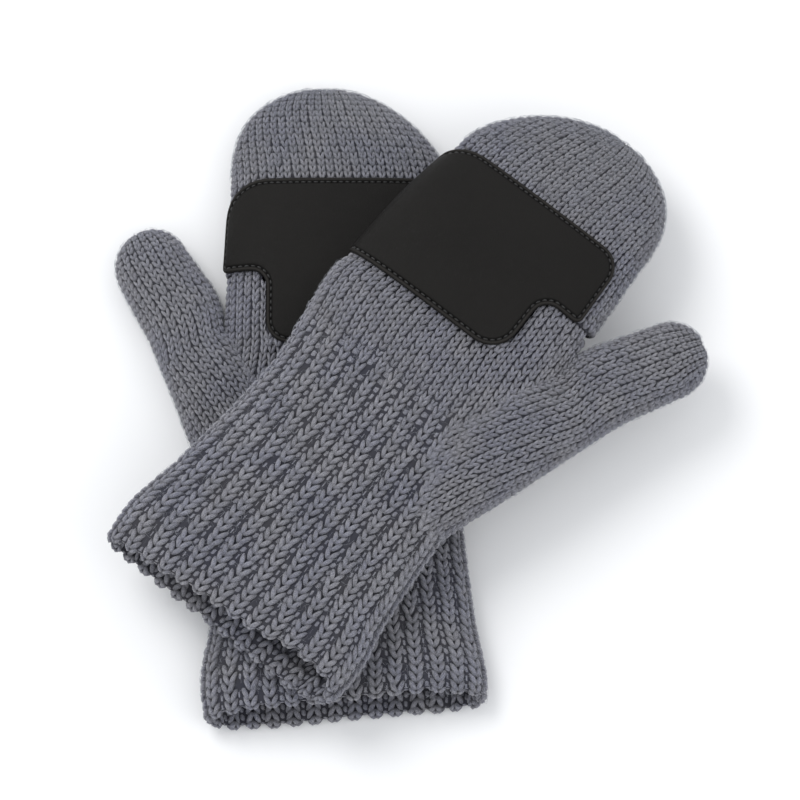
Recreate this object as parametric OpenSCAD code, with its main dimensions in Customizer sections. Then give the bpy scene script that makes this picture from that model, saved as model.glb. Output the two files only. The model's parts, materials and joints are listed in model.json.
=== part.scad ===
// A pair of convertible flip-top mittens, lying palm up, the right one across the left one.
// Each mitten is built flat on its back in its own axes: x across (thumb side +x), y from the
// cuff to the tip, z up through the palm. The pair is then laid out by lower() and upper().

/* [Hand] */
// Length from the edge of the cuff to the tip of the flap
mitten_len = 293; // [270:1:320]
// Width across the cuff
cuff_w = 134; // [122:1:146]
// Width across the wrist
wrist_w = 114; // [104:1:124]
// Width across the palm
palm_w = 120; // [112:1:128]
// Height of the empty mitten where it is thickest
hand_h = 28; // [25:0.5:32]
// Thickness of the outer knit
knit_t = 3; // [2:0.1:3.4]
// How far the back of the cuff shows beyond the palm side
cuff_step = 7; // [0:0.5:10]
// Depth of the facing turned in at the cuff
hem_len = 24; // [18:1:36]
// Thickness of the turned-in facing
hem_t = 2.4; // [1.5:0.1:3]

/* [Flap] */
// Where the flap hinges on the back of the hand, measured from the cuff
hinge_y = 176; // [172:0.5:180]
// Width across the flap at its mouth
flap_w = 114; // [108:1:120]
// Distance the flap's palm edge reaches behind the hinge
palm_overlap = 5; // [2:0.5:7]
// Length of the rounded end of the flap
tip_len = 52; // [40:1:64]
// How far the tip leans towards the thumb
tip_lean = 8; // [0:0.5:14]
// Where the notch for the index finger ends, measured from the hinge
notch_len = 29; // [24:0.5:34]
// Where the notch starts, measured across from the middle of the hand
notch_x = 33; // [28:0.5:38]
// Gap between the flap and what is inside it
flap_gap = 0.5; // [0.3:0.1:1]

/* [Patch] */
// Thickness of the leather
patch_t = 1.5; // [1:0.1:2.5]
// Length of the patch along the hand
patch_len = 75; // [60:1:85]
// Width of knit left showing beside the patch on the thumb side
patch_rim = 4; // [2:0.5:10]
// Radius of the patch's large corner
corner_r = 13; // [8:0.5:18]
// Radius of its other corners
small_r = 7; // [3:0.5:9]
// Distance of the stitching from the edge
stitch_in = 2.2; // [1.5:0.1:4]
// Thickness of the thread
thread_t = 0.8; // [0.5:0.1:1.2]

/* [Thumb] */
// Angle between the thumb and the hand
thumb_splay = 30; // [24:1:34]
// Width of the thumb
thumb_w = 38; // [32:0.5:42]
// Height of the thumb near its tip
thumb_h = 23; // [18:0.5:26]
// Where the thumb's tip is, measured along the thumb from the level of the cuff
thumb_reach = 257; // [240:1:270]

/* [Fingers] */
// Length of the ring and middle finger tubes beyond the hand
finger_len = 15; // [8:0.5:16]
// Length of the little finger's tube beyond the hand
little_len = 10; // [6:0.5:11]
// Spacing of the little, ring and middle finger tubes
finger_pitch = 25.2; // [22:0.2:25.2]
// Gap between neighbouring finger tubes
finger_gap = 1; // [0.5:0.1:3]
// Height of the finger tubes at their open ends
finger_h = 11; // [9:0.5:12]
// Thickness of the knit of the fingers
finger_t = 1.8; // [1.2:0.1:2.4]

/* [Lining] */
// Thickness of the fleece lining
lining_t = 1.2; // [0.8:0.1:2]
// Gap between the knit and its lining
lining_gap = 0.5; // [0.4:0.1:0.8]

/* [Layout] */
// How far the upper mitten's cuff lies to the left of the lower one's
upper_left = 60.5; // [50:0.5:70]
// How far the upper mitten's cuff lies beyond the lower one's
upper_ahead = 44; // [34:0.5:54]
// Angle the upper mitten is turned, clockwise
upper_turn = 37.7; // [30:0.1:45]
// Gap left between the two mittens where they cross
pair_gap = 1.2; // [1.1:0.1:3]
// How far the upper mitten's tip sags beyond the lower mitten
tip_sag = 12; // [0:0.5:14]
// How far its cuff sags
cuff_sag = 3; // [0:0.5:3]
// How far its thumb sags
thumb_sag = 9; // [0:0.5:12]
// How much further the flat lower mitten reaches than the draped upper one
flat_more = 6; // [0:0.5:8]
// How far the lower mitten's thumb is pushed back into the hand
thumb_pushed = 8; // [0:0.5:10]
// Angle between the lower cuff's edge and straight across
cuff_turn = 5; // [0:0.5:6]

/* [Hidden] */
$fn = 48;
// The frame's origin is under the middle of the lower mitten's back.
origin_y = 145;
// Points round a section of the knit, and round a section of the smaller pieces
knit_n = 28;
small_n = 20;
lining_n = 16;
// Squareness of a section: 1 is an oval, smaller is boxier
boxy = 0.72;
// A section's oval reaches this far below the flat back, which cuts it off
back_cut = 3;
// The back of the hand rises over this length ahead of the hinge, to go inside the flap
back_step = 3.6;
hand_end = hinge_y + 6;
// A sleeve is drawn this far past the cuff's edge, which is then cut
cuff_start = -cuff_step - 4;
// The lower cuff's edge turns about this place, measured across the hand
cuff_pivot = 35;
flap_edge = hinge_y - palm_overlap;
notch_y = hinge_y + notch_len;
flap_back = hinge_y + 0.4;
flap_h = hand_h - 1.8 + knit_t + flap_gap;
under_h = flap_h - knit_t - flap_gap;
centre_x = 3.5;
drape_y = 90;
// The finger tubes lie this far above the back, clear of the flap's rounded corner
tube_z = knit_t + flap_gap + 1;
// The hinge seam's roll, and how far it reaches across the flat of the back
seam_r = 1;
seam_w = flap_w * 2 / 3;
// The patch's large corner starts this far in from the end of its wrap
pinky_wrap = 7;
// How far in from the thumb side the flap is open, right down to the back
side_open = 14;
// Gap between the cuff and its turned-in facing
hem_gap = 0.1;
// How far a lining lies inside the knit's outer face
lining_in = knit_t + lining_gap;
upper_z = flap_h + patch_t + pair_gap;
// How far the rounding of the flap's side reaches in; it grows with the hand's height
side_round = hand_h * 17 / 70;
// The pinky side of the three small tubes, inside the flap's wall
row_left = centre_x - flap_w / 2 + knit_t + flap_gap + side_round;
first_x = row_left + finger_pitch / 2;
index_left = notch_x + 0.8;
index_right = centre_x + flap_w / 2 - knit_t;

// ---- curves ----

// Row i's slope in a table of rows, for a smooth curve through them
function slope(t, i) =
    let (a = max(i - 1, 0), b = min(i + 1, len(t) - 1)) (t[b] - t[a]) / (t[b][0] - t[a][0]);
function span_of(t, y, i = 0) = i >= len(t) - 2 || y <= t[i + 1][0] ? i : span_of(t, y, i + 1);
// The smooth curve through a table's rows, read at y
function smooth_at(t, y) =
    let (i = span_of(t, y), d = t[i + 1][0] - t[i][0], u = (y - t[i][0]) / d)
    (2 * u ^ 3 - 3 * u ^ 2 + 1) * t[i] + (u ^ 3 - 2 * u ^ 2 + u) * d * slope(t, i)
    + (3 * u ^ 2 - 2 * u ^ 3) * t[i + 1] + (u ^ 3 - u ^ 2) * d * slope(t, i + 1);
function ease(u) = let (v = min(max(u, 0), 1)) v * v * (3 - 2 * v);
function boxed(v) = sign(v) * pow(abs(v), boxy);

// How far the draped hand hangs below level at y, and its thumb at s
function hand_drop(y) =
    y > hinge_y ? tip_sag * pow((y - hinge_y) / (mitten_len - hinge_y), 2)
    : y < drape_y ? cuff_sag * pow((drape_y - y) / drape_y, 2) : 0;
function thumb_drop(s) = s < 170 ? 0 : thumb_sag * pow((s - 170) / (thumb_reach - 170), 2);

// ---- sections: [y, middle x, half width, back z, palm z, drop] ----

// The sleeve runs from the cuff to the knuckles
sleeve_rows = [
    [cuff_start, centre_x - 0.5, cuff_w / 2 - 2, 0, hand_h - 2],
    [14, centre_x, cuff_w / 2, 0, hand_h - 1],
    [42, centre_x + 0.5, (cuff_w + wrist_w) / 4, 0, hand_h],
    [105, centre_x + 2, wrist_w / 2, 0, hand_h],
    [160, centre_x - 0.5, palm_w / 2, 0, hand_h],
    [hinge_y - back_step - 0.4, centre_x, flap_w / 2 - knit_t - flap_gap + 0.3, 0, under_h]];
knuckle_rows = [
    [hinge_y - 0.2, centre_x, flap_w / 2 - knit_t - flap_gap, knit_t + flap_gap, under_h - 0.1],
    [hand_end, centre_x, flap_w / 2 - knit_t - flap_gap - 0.5, knit_t + flap_gap, under_h - 1.2]];
sleeve_ys = [cuff_start, 4, 14, hem_len, 42, 60, 82, 105, 128, 146, 160, 166, 170];
function sleeve_stations(sag) = [
    for (r = concat([for (y = sleeve_ys) if (y < hinge_y - back_step - 1) smooth_at(sleeve_rows, y)],
        [sleeve_rows[5]], knuckle_rows)) concat(r, sag * hand_drop(r[0]))];

// The flap runs from behind its palm edge to the tip, which is rounded in plan and in height
function flap_rows(sag) = [
    [flap_edge - 4, centre_x, flap_w / 2 + 0.6, 0, flap_h],
    [hinge_y + 24, centre_x + 0.5, flap_w / 2 - 0.4, 0, flap_h],
    [hinge_y + 42, centre_x + 1, flap_w / 2 - 2, 0, flap_h - 1],
    [mitten_len - tip_len + flat_more * (1 - sag), centre_x + 2, flap_w / 2 - 4.5, 0, flap_h - 3]];
function tip_row(sag, u, d) =
    let (r = flap_rows(sag)[3], round_w = sqrt(1 - u * u), round_h = pow(1 - pow(u, 2.6), 0.5))
    [r[0] + (tip_len - d) * u, r[1] + tip_lean * ease(u), r[2] * round_w,
        r[4] / 2 * (1 - round_h) * (1 - 0.35 * u), r[4] / 2 * (1 + round_h) - 2 * u];
function flap_stations(sag, d = 0) = [
    for (r = concat([for (y = [flap_edge - 4, hinge_y, hinge_y + 12, hinge_y + 24, hinge_y + 34,
        hinge_y + 42, (hinge_y + 42 + mitten_len - tip_len) / 2]) smooth_at(flap_rows(sag), y)],
        [for (a = [0:11:88]) tip_row(sag, sin(a), d)])) concat(r, sag * hand_drop(r[0]))];

// The thumb runs along its own axis, from inside the palm to its round tip
function thumb_end(sag) = thumb_reach - thumb_w / 2 - thumb_pushed * (1 - sag);
// It narrows where it passes the index finger, and widens again past the crotch.
function thumb_rows(sag) = [
    [92, -17, 31, 0, hand_h - 3],
    [125, -21.5, 29, 0, hand_h - 1],
    [150, -22.5, 25.5, 0, hand_h - 1],
    [170, -22.6, 21.4, 0, hand_h - 2],
    [186, -22.4, 17.9, 0, hand_h - 3],
    [194, -25.4, 19.2, 0, hand_h - 3.5],
    [204, -27.6, thumb_w / 2 + 0.7, 0, thumb_h + 1.5],
    [220, -28.2, thumb_w / 2, 0, thumb_h + 0.5],
    [thumb_end(sag), -28.5, thumb_w / 2 - 0.8, 0, thumb_h]];
function thumb_tip(sag, u, d) =
    let (r = thumb_rows(sag)[8], k = sqrt(1 - u * u))
    [r[0] + (thumb_w / 2 - d) * u, r[1] - 1.5 * u, r[2] * k, r[4] / 2 * (1 - k) * 0.7,
        r[4] / 2 * (1 + k) - u];
function thumb_stations(sag, d = 0) = [
    for (r = concat([for (s = [92, 108, 125, 138, 150, 160, 170, 178, 186, 194, 204, 220])
        smooth_at(thumb_rows(sag), s)], [for (a = [0:14:84]) thumb_tip(sag, sin(a), d)]))
        concat(r, sag * thumb_drop(r[0]))];

// A finger tube: left side, right side, its height at the hand and at its open end, its length
function finger_stations(left, right, h0, h1, length) = [
    for (k = [0:2]) let (u = k / 2)
        [hand_end + length * u, (left + right) / 2, (right - left) / 2, tube_z,
            tube_z + h0 + (h1 - h0) * u, 0]];
index_rows = finger_stations(index_left, index_right, under_h - tube_z - 0.4,
    under_h - tube_z - 2, notch_len - 8);
function small_rows(k) =
    finger_stations(first_x + finger_pitch * (k - 0.5) + finger_gap / 2,
        first_x + finger_pitch * (k + 0.5) - finger_gap / 2, finger_h + 5, finger_h,
        k == 0 ? little_len : finger_len);

// ---- solids ----

// One section's points, inset by d
function section(r, d, n) =
    let (low = r[3] - back_cut * min(1, (r[4] - r[3]) / 12), half = (r[4] - low) / 2,
        middle = r[4] - half, floor_z = min(r[3] + d, middle - 0.3))
    [for (i = [0:n - 1]) let (a = 360 * i / n)
        [r[1] + max(r[2] - d, 0.6) * boxed(cos(a)), r[0],
            max(floor_z, middle + max(half - d, 0.5) * boxed(sin(a))) - r[5]]];
// A closed solid through a list of sections
module loft(rows, d = 0, n = knit_n) {
    m = len(rows);
    polyhedron(points = [for (r = rows) each section(r, d, n)], faces = concat(
        [[for (i = [n - 1:-1:0]) i]],
        [[for (i = [0:n - 1]) (m - 1) * n + i]],
        [for (j = [0:m - 2], i = [0:n - 1]) [j * n + i, j * n + (i + 1) % n, (j + 1) * n + (i + 1) % n]],
        [for (j = [0:m - 2], i = [0:n - 1]) [j * n + i, (j + 1) * n + (i + 1) % n, (j + 1) * n + i]]));
}
// Rows that run on past both ends, to cut an open tube
function past_ends(rows, a = 5, b = 5) =
    let (f = rows[0], l = rows[len(rows) - 1])
    concat([[f[0] - a, f[1], f[2], f[3], f[4], f[5]]], rows, [[l[0] + b, l[1], l[2], l[3], l[4], l[5]]]);
function past_start(rows, a = 5) =
    let (f = rows[0]) concat([[f[0] - a, f[1], f[2], f[3], f[4], f[5]]], rows);
// The rows that lie short of y
function short_of(rows, y) = [for (r = rows) if (r[0] < y) r];
module tube(rows, d, t, n = knit_n) {
    difference() {
        loft(rows, d, n);
        loft(past_ends(rows), d + t, n);
    }
}
// A side view, [y, z] points, carried right across the hand between x = from and to
module across(points, from = -200, to = 200) {
    translate([from, 0, 0]) rotate([90, 0, 90]) linear_extrude(to - from) polygon(points);
}
// A soft shell is cut as one mesh: a resize by nothing keeps its size
module soft(shade) { color(shade) resize([0, 0, 0]) children(); }
// Turns the thumb's own axes into the hand's
module thumb_axes() { rotate([0, 0, -thumb_splay]) children(); }
// Everything beyond the cuff's edge, which leans back from the palm to the back of the hand
module cuff_cut(sag) {
    translate([cuff_pivot, 0, 0]) rotate([0, 0, -cuff_turn * (1 - sag)])
        across([[-60, -40], [-cuff_step * (1 + 40 / hand_h), -40], [0, hand_h], [0, 80], [-60, 80]]);
}

// ---- the hand's pieces ----

module sleeve(sag) {
    rows = sleeve_stations(sag);
    inner = concat(short_of(past_start(rows, 6), hand_end), [[hand_end - knit_t, centre_x,
        knuckle_rows[1][2], knuckle_rows[1][3], knuckle_rows[1][4], 0]]);
    soft("slategray") difference() {
        loft(rows);
        loft(inner, knit_t);
        thumb_axes() loft(thumb_stations(sag, knit_t), knit_t, small_n);
        for (k = [0:2]) loft(past_ends(small_rows(k)), finger_t, small_n);
        loft(past_ends(index_rows), finger_t, small_n);
        cuff_cut(sag);
    }
}
module cuff_hem(sag) {
    rows = [for (y = [cuff_start, 4, 14, hem_len]) concat(smooth_at(sleeve_rows, y), sag * hand_drop(y))];
    soft("lightslategray") difference() {
        tube(rows, knit_t + hem_gap, hem_t);
        cuff_cut(sag);
    }
}
module thumb(sag) {
    soft("slategray") difference() {
        thumb_axes() difference() {
            loft(thumb_stations(sag), 0, small_n);
            loft(thumb_stations(sag, knit_t), knit_t, small_n);
        }
        loft(sleeve_stations(sag));
    }
}
module finger(rows) {
    soft("lightslategray") tube(rows, 0, finger_t, small_n);
}
module hand_lining(sag) {
    start = concat(smooth_at(sleeve_rows, hem_len + lining_gap), sag * hand_drop(hem_len + lining_gap));
    rows = concat([start], [for (r = sleeve_stations(sag)) if (r[0] > hem_len + 4 && r[0] < hinge_y - back_step) r]);
    soft("gray") difference() {
        tube(rows, lining_in, lining_t, lining_n);
        thumb_axes() loft(thumb_stations(sag, lining_in), lining_in, lining_n);
    }
}
module thumb_lining(sag) {
    inner = lining_in + lining_t;
    soft("gray") difference() {
        thumb_axes() difference() {
            loft(thumb_stations(sag, lining_in), lining_in, small_n);
            loft(thumb_stations(sag, inner), inner, small_n);
        }
        loft(sleeve_stations(sag), knit_t - 1);
    }
}
// The roll of stitching that joins the flap's back to the hand, in the step behind the hinge
module hinge_seam() {
    color("dimgray") translate([centre_x, hinge_y - seam_r + 0.1, seam_r + 0.1]) rotate([0, 90, 0])
        cylinder(h = seam_w, r = seam_r, center = true);
}

// ---- the flap's pieces ----

// What is cut away from the flap: behind its palm edge, behind the hinge, and for the index finger
module flap_cut() {
    across([[100, -30], [flap_back, -30], [flap_back, knit_t + 1], [flap_edge, flap_h - 5],
        [flap_edge, 80], [100, 80]]);
    // the notch, open to the thumb side, rounded where its side meets its end
    translate([0, 0, knit_t + 2]) linear_extrude(80) notch_plan();
    // the thumb side's edge, down to the back
    translate([centre_x + flap_w / 2 - side_open, 100, -20]) cube([60, notch_y - 100, 100]);
}
module notch_plan() {
    difference() {
        translate([notch_x, 100]) square([80, notch_y - 100]);
        translate([notch_x, notch_y - small_r]) difference() {
            square(small_r);
            translate([small_r, 0]) circle(small_r);
        }
    }
    // the rounded corner where the notch's side meets the palm edge
    translate([notch_x - small_r, flap_edge]) difference() {
        translate([0, -5]) square([small_r + 1, small_r + 5]);
        translate([0, small_r]) circle(small_r);
    }
}
module flap(sag) {
    soft("slategray") difference() {
        loft(flap_stations(sag));
        loft(past_start(flap_stations(sag, knit_t)), knit_t);
        flap_cut();
    }
}
module flap_lining(sag) {
    inner = lining_in + lining_t;
    soft("gray") difference() {
        loft([for (r = flap_stations(sag, lining_in)) if (r[0] > notch_y + 3) r], lining_in, lining_n);
        loft(past_start([for (r = flap_stations(sag, inner)) if (r[0] > notch_y + 3) r]), inner, lining_n);
    }
}
// The patch's outline in plan, drawn d inside its edge; its pinky side wraps to the flap's side
module patch_plan(d = 0) {
    right = centre_x + flap_w / 2 - patch_rim;
    left = centre_x - flap_w / 2 - 6;
    top = flap_edge + patch_len;
    difference() {
        translate([left, flap_edge + d]) square([right - left - d, patch_len - 2 * d]);
        // top corners
        translate([left + pinky_wrap, top - d]) corner(corner_r);
        translate([right - d, top - d]) mirror([1, 0]) corner(small_r);
        offset(delta = d) notch_plan();
        translate([right - d, notch_y + d]) mirror([1, 0]) mirror([0, 1]) corner(3);
    }
}
// What a rounded top left corner of radius r takes off
module corner(r) {
    difference() {
        translate([-20, -r]) square([20 + r, r + 1]);
        translate([r, -r]) circle(r);
    }
}
module palm_patch(sag) {
    rows = flap_stations(sag);
    soft("black") intersection() {
        difference() {
            loft(rows, -patch_t);
            loft(rows, 0);
        }
        translate([0, 0, flap_h * 0.5]) linear_extrude(60) patch_plan();
    }
}
module patch_stitching(sag) {
    rows = flap_stations(sag);
    soft("dimgray") intersection() {
        difference() {
            loft(rows, -patch_t - thread_t / 2);
            loft(rows, -patch_t);
        }
        translate([0, 0, flap_h * 0.6]) linear_extrude(60) difference() {
            patch_plan(stitch_in - thread_t / 2);
            patch_plan(stitch_in + thread_t / 2);
        }
    }
}

// ---- the pair ----

module lower() { translate([0, -origin_y, 0]) mirror([1, 0, 0]) children(); }
module upper() {
    translate([-upper_left, upper_ahead - origin_y, upper_z]) rotate([0, 0, -upper_turn]) children();
}

lower() sleeve(0);  // lower_sleeve
lower() cuff_hem(0);  // lower_cuff_hem
lower() thumb(0);  // lower_thumb
lower() finger(index_rows);  // lower_index_finger
lower() finger(small_rows(2));  // lower_middle_finger
lower() finger(small_rows(1));  // lower_ring_finger
lower() finger(small_rows(0));  // lower_little_finger
lower() hand_lining(0);  // lower_hand_lining
lower() thumb_lining(0);  // lower_thumb_lining
lower() hinge_seam();  // lower_hinge_seam
lower() flap(0);  // lower_flap
lower() flap_lining(0);  // lower_flap_lining
lower() palm_patch(0);  // lower_palm_patch
lower() patch_stitching(0);  // lower_patch_stitching
upper() sleeve(1);  // upper_sleeve
upper() cuff_hem(1);  // upper_cuff_hem
upper() thumb(1);  // upper_thumb
upper() finger(index_rows);  // upper_index_finger
upper() finger(small_rows(2));  // upper_middle_finger
upper() finger(small_rows(1));  // upper_ring_finger
upper() finger(small_rows(0));  // upper_little_finger
upper() hand_lining(1);  // upper_hand_lining
upper() thumb_lining(1);  // upper_thumb_lining
upper() hinge_seam();  // upper_hinge_seam
upper() flap(1);  // upper_flap
upper() flap_lining(1);  // upper_flap_lining
upper() palm_patch(1);  // upper_palm_patch
upper() patch_stitching(1);  // upper_patch_stitching
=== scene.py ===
import json
import math
import bpy
import bmesh
import numpy as np
from mathutils import Matrix, Vector


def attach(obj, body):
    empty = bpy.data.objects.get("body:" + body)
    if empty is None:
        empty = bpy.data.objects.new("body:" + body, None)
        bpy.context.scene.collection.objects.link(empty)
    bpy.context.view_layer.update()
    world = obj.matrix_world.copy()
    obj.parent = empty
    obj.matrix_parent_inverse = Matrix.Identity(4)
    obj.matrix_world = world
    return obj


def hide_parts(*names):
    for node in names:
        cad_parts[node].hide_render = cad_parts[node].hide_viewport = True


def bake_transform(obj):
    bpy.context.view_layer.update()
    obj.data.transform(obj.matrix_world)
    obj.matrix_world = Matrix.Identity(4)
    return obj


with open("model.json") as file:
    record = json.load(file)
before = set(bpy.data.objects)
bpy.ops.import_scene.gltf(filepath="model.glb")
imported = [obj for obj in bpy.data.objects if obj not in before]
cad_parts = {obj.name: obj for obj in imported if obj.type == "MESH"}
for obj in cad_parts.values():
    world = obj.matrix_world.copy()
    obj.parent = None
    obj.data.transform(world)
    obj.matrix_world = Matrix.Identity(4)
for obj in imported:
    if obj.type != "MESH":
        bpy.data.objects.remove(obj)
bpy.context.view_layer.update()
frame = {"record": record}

mm = 0.001
rng = np.random.default_rng(7)


# ---- finishes ----

class Value:
    # one number in a node tree, so that maths on it reads as maths
    def __init__(self, finish, socket):
        self.finish, self.socket = finish, socket

    def join(self, operation, a, b):
        return self.finish.node("ShaderNodeMath", {"operation": operation}, {0: a, 1: b})

    def __add__(self, other):
        return self.join("ADD", self, other)

    def __sub__(self, other):
        return self.join("SUBTRACT", self, other)

    def __mul__(self, other):
        return self.join("MULTIPLY", self, other)


class Finish:
    def __init__(self, name, **shader):
        self.material = bpy.data.materials.new(name)
        self.material.use_nodes = True
        self.tree = self.material.node_tree
        self.shader = self.tree.nodes["Principled BSDF"]
        for key, value in shader.items():
            self.shader.inputs[key.replace("_", " ")].default_value = value

    def node(self, kind, settings=None, sockets=None, out=0):
        made = self.tree.nodes.new(kind)
        for key, value in (settings or {}).items():
            setattr(made, key, value)
        for key, value in (sockets or {}).items():
            if isinstance(value, Value):
                self.tree.links.new(value.socket, made.inputs[key])
            else:
                made.inputs[key].default_value = value
        return Value(self, made.outputs[out])

    def feed(self, socket, value):
        self.tree.links.new(value.socket, self.shader.inputs[socket])

    def noise(self, vector, scale, detail=3, roughness=0.55):
        return self.node("ShaderNodeTexNoise", {}, {"Vector": vector, "Scale": scale, "Detail": detail,
                         "Roughness": roughness})

    def spread(self, value, low, high, top=1.0, bottom=0.0):
        return self.node("ShaderNodeMapRange", {}, {"Value": value, "From Min": low, "From Max": high,
                         "To Min": bottom, "To Max": top})

    def mix(self, factor, a, b):
        return self.node("ShaderNodeMix", {"data_type": "RGBA"}, {0: factor, 6: a, 7: b}, out=2)

    def bump(self, height, distance, strength=1.0):
        self.feed("Normal", self.node("ShaderNodeBump", {}, {"Height": height, "Distance": distance,
                  "Strength": strength}))


# deep is the marl's dark fibres and also the colour of the painted shade at the ends and sides of the
# stitches' legs; gap is painted shade, the near black that the sheets under the stitches are darkened towards
wool = {
    "blue": (0.200, 0.205, 0.268, 1), "grey": (0.262, 0.258, 0.286, 1),
    "brown": (0.236, 0.221, 0.216, 1), "deep": (0.030, 0.030, 0.039, 1),
    "pale": (0.62, 0.62, 0.66, 1), "gap": (0.012, 0.012, 0.016, 1), "sheen": 0.35,
}


def marledWool(name, stranded=True, depth=1.0):
    f = Finish(name, Roughness=0.92, Sheen_Weight=wool["sheen"], Sheen_Roughness=0.45,
               Specular_IOR_Level=0.15)
    place = f.node("ShaderNodeTexCoord", out=3)
    broad = f.noise(place, 34, 2)              # patches of bluer and browner spinning
    fine = f.noise(place, 420, 3, 0.65)
    tone = f.mix(f.spread(broad, 0.38, 0.62), wool["blue"], wool["grey"])
    tone = f.mix(f.spread(fine, 0.52, 0.72, 0.6), tone, wool["brown"])
    if stranded:
        strand = f.node("ShaderNodeAttribute", {"attribute_name": "strand"}, out=1)
        split = f.tree.nodes.new("ShaderNodeSeparateXYZ")
        f.tree.links.new(strand.socket, split.inputs[0])
        along, across, chance = (Value(f, s) for s in split.outputs)
        twist = f.node("ShaderNodeCombineXYZ", {}, {
            0: along * 1.3 + across * 0.9,
            1: across * 3.4 - along * 0.8,
            2: chance * 37,
        })
        fibre = f.noise(twist, 4.0, 4, 0.8)
        tone = f.mix(f.spread(fibre, 0.48, 0.66, 0.9), tone, wool["pale"])
        tone = f.mix(f.spread(fibre, 0.5, 0.36, 0.95), tone, wool["deep"])
        # each stitch is spun a little lighter or darker, and painted shade darkens the ends and sides of its
        # legs, where they sink between the neighbouring stitches
        shade = along * along * 0.55 + across * across * across * across * 0.7 + chance * 0.2
        shade = f.node("ShaderNodeMath", {"operation": "MINIMUM"}, {0: shade, 1: 0.88})
        tone = f.mix(shade, tone, wool["deep"])
        f.bump(fibre * 0.7 + fine * 0.5, 0.0007, 0.9)
    else:
        # painted shade: the sheet under the stitches is darkened most of the way to the gap colour, standing
        # for the shade between the stitches
        tone = f.mix(depth, tone, wool["gap"])
        f.bump(fine, 0.0006, 0.9)
    f.feed("Base Color", tone)
    return f.material


# worn is the random cloudy wear of the leather and also the painted highlight on the raised welt; furrow is
# painted shade, the dark line along the stitch furrow
leather = {
    "base": (0.0100, 0.0093, 0.0086, 1), "worn_and_highlight": (0.0250, 0.0232, 0.0212, 1),
    "furrow": (0.0012, 0.0011, 0.0010, 1), "grain": 1500,
}
fleece = {"deep": (0.03, 0.03, 0.036, 1), "tuft": (0.085, 0.086, 0.096, 1), "dust": (0.05, 0.052, 0.06, 1)}
thread = {"dark": (0.004, 0.004, 0.004, 1), "light": (0.017, 0.016, 0.015, 1)}
fibre = {"dark": (0.22, 0.23, 0.27, 1), "light": (0.44, 0.45, 0.48, 1)}


def smoothLeather():
    f = Finish("palm_leather", Specular_IOR_Level=0.08)
    place = f.node("ShaderNodeTexCoord", out=3)
    grain = f.node("ShaderNodeTexVoronoi", {"feature": "DISTANCE_TO_EDGE"},
                   {"Vector": place, "Scale": leather["grain"]})
    creases = f.noise(place, 120, 4, 0.6)
    cloud = f.noise(place, 26, 3)
    edge = f.node("ShaderNodeAttribute", {"attribute_name": "rim"}, out=2)
    # painted light: positive rim values lighten the raised welt as a painted highlight, on top of the cloudy
    # wear, and negative rim values darken the stitch furrow as painted shade
    skin = f.mix(edge * 0.8 + cloud * 0.3, leather["base"], leather["worn_and_highlight"])
    f.feed("Base Color", f.mix(edge * -1.0, skin, leather["furrow"]))
    f.feed("Roughness", f.spread(cloud * 0.6 + creases * 0.4 - edge * 0.15, 0.3, 0.7, 0.52, 0.36))
    f.bump(f.spread(grain, 0.0, 0.22) * 0.35 + creases * 0.65, 0.00035, 0.7)
    return f.material


def brushedFleece():
    f = Finish("fleece_lining", Roughness=0.95, Sheen_Weight=0.5, Sheen_Roughness=0.5, Specular_IOR_Level=0.1)
    place = f.node("ShaderNodeTexCoord", out=3)
    tufts = f.noise(place, 300, 4, 0.7)
    cloud = f.noise(place, 45, 2)
    tone = f.mix(tufts, fleece["deep"], fleece["tuft"])
    f.feed("Base Color", f.mix(cloud * 0.5, tone, fleece["dust"]))
    f.bump(tufts, 0.001, 0.9)
    return f.material


def waxedThread():
    f = Finish("black_thread", Roughness=0.55, Sheen_Weight=0.3)
    place = f.node("ShaderNodeTexCoord", out=3)
    ply = f.noise(place, 2400, 2)
    f.feed("Base Color", f.mix(ply, thread["dark"], thread["light"]))
    f.bump(ply, 0.0002, 0.8)
    return f.material


def looseFibre():
    f = Finish("wool_fibre", Roughness=0.95, Sheen_Weight=0.3, Specular_IOR_Level=0.1)
    cloud = f.noise(f.node("ShaderNodeTexCoord", out=3), 160, 2)
    f.feed("Base Color", f.mix(cloud, fibre["dark"], fibre["light"]))
    return f.material


finish = {
    "fibre": looseFibre(),
    # the second wool is the painted-shade wool for the dark sheets under the stitches
    "stitch": marledWool("wool_knit"), "under": marledWool("wool_shade_sheet", False, 0.86),
    "leather": smoothLeather(), "fleece": brushedFleece(), "thread": waxedThread(),
}
print("finishes made")


# ---- the hand's surfaces, in millimetres: x to the thumb, y to the tip, z out of the palm ----

hand = {
    "hinge": 176, "edge": 171, "middle": 3.5, "flapH": 29.7, "length": 293, "lean": 8, "boxy": 0.72,
    "backCut": 3,
}
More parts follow.
